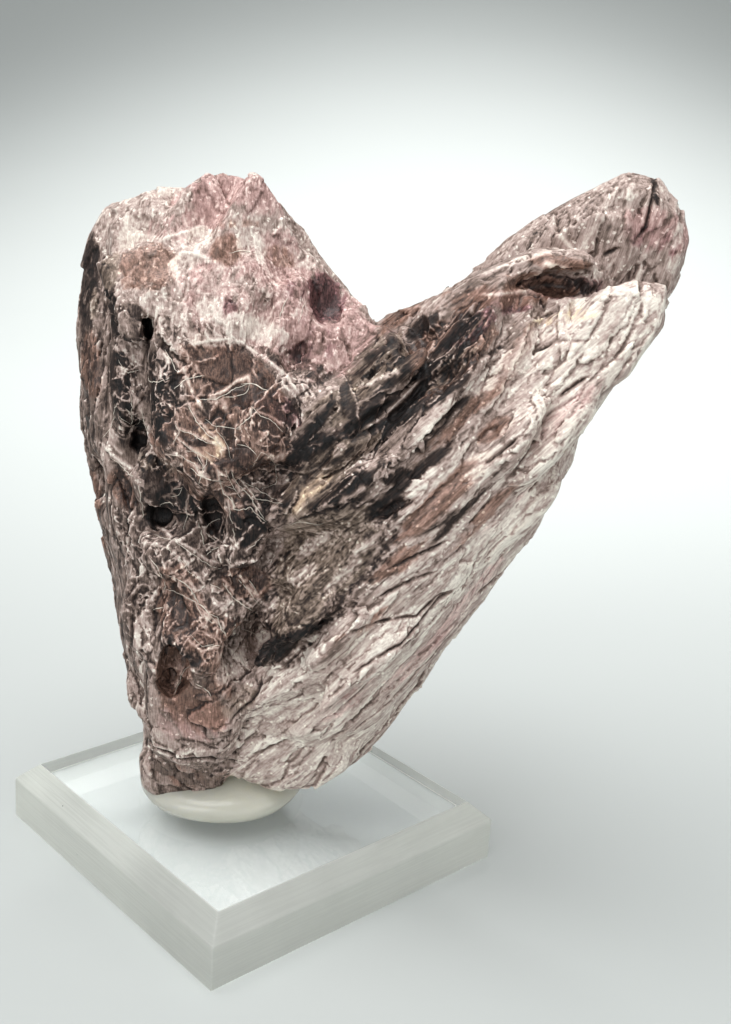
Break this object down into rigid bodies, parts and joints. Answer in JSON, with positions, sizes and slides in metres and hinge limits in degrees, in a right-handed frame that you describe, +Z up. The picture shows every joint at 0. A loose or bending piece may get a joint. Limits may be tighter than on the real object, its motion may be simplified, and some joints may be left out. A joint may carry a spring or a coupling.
{
  "type": "lepidolite specimen on acrylic base",
  "caption": "V-shaped lepidolite specimen of flaky mica books, seated in clear putty on a square bevelled acrylic display base.",
  "frame": {"origin": "centre of the base's underside, on the surface that it stands on", "axes": "+Z up; -Y faces the viewer, with the specimen's broad front and its V; +X to the viewer's right. The base stands cornerwise, its corners on X and Y"},
  "size_m": [0.1352, 0.1074, 0.15],
  "materials": {
    "lepidolite": "flaky mica, pale pink and lilac to dark plum and black-green, pearly on fresh faces",
    "putty": "milky translucent mineral putty, smooth and softly glossy",
    "acrylic": "clear cast acrylic, polished top and underside, frosted sawn sides and bevels"
  },
  "bodies": {
    "root": {"lepidolite": "lepidolite", "putty": "putty", "acrylic_base": "acrylic"}
  },
  "joints": []
}
